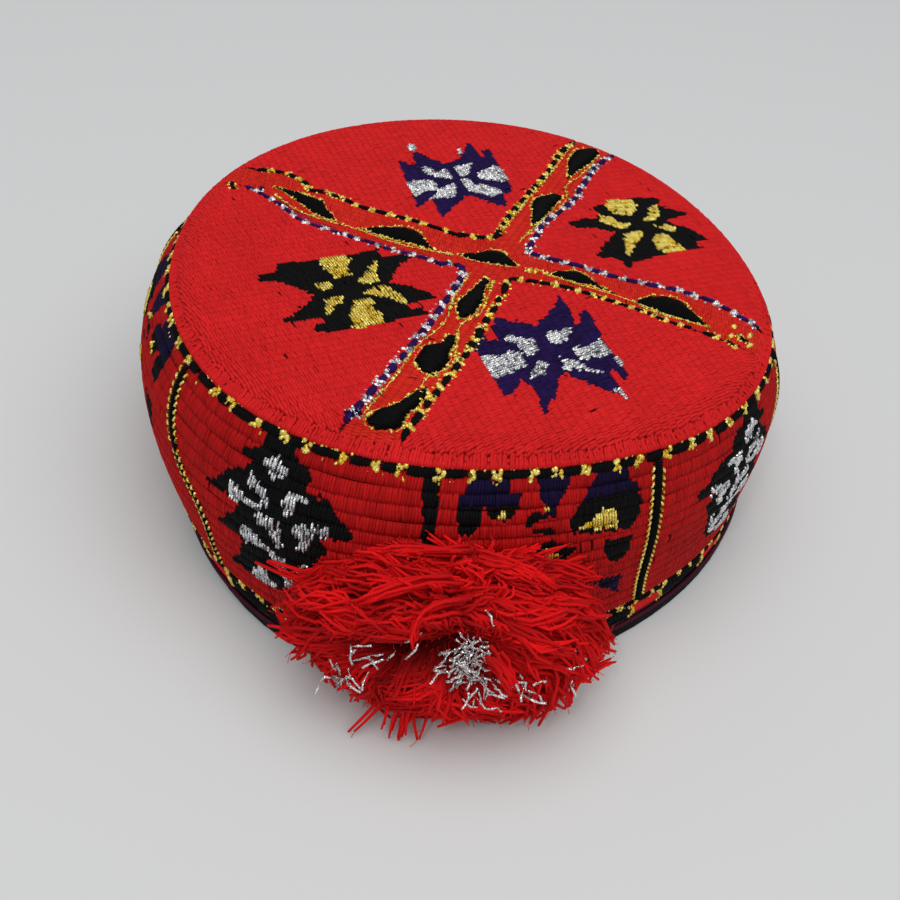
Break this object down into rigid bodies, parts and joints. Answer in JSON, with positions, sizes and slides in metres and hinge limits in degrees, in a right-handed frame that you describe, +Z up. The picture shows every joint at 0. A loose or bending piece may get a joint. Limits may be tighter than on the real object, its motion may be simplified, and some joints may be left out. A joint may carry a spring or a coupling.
{
  "type": "traditional embroidered round cap with pompom",
  "caption": "Low round cap: embroidered side band, flat crown under a rounded rim, bound hem, and a wool pompom tied to the front.",
  "frame": {"origin": "middle of the hat's base, on the surface that the hem and the pompom rest on", "axes": "+Z up through the crown, -Y towards the front, where the pompom is, +X towards the right seen from the front"},
  "size_m": [0.1954, 0.2226, 0.0728],
  "materials": {
    "red_embroidery": "wool floss laid over padded cords",
    "red_overcast": "close overcast wool stitches",
    "orange_embroidery": "wool floss ground of the crossing bands",
    "black_thread": "black floss",
    "navy_thread": "navy floss",
    "purple_thread": "purple floss",
    "gold_thread": "twisted metallic gold thread",
    "silver_thread": "twisted metallic silver thread",
    "cotton_backing": "plain woven red cotton",
    "black_binding": "folded black cotton",
    "red_wool": "cut wool yarn",
    "tie_cord": "plied wool cord"
  },
  "bodies": {
    "root": {"crown_top": "red_embroidery", "rim_roll": "red_overcast", "side_band": "red_embroidery", "edge_binding": "black_binding", "pompom": "red_wool", "pompom_tie": "tie_cord"}
  },
  "joints": []
}
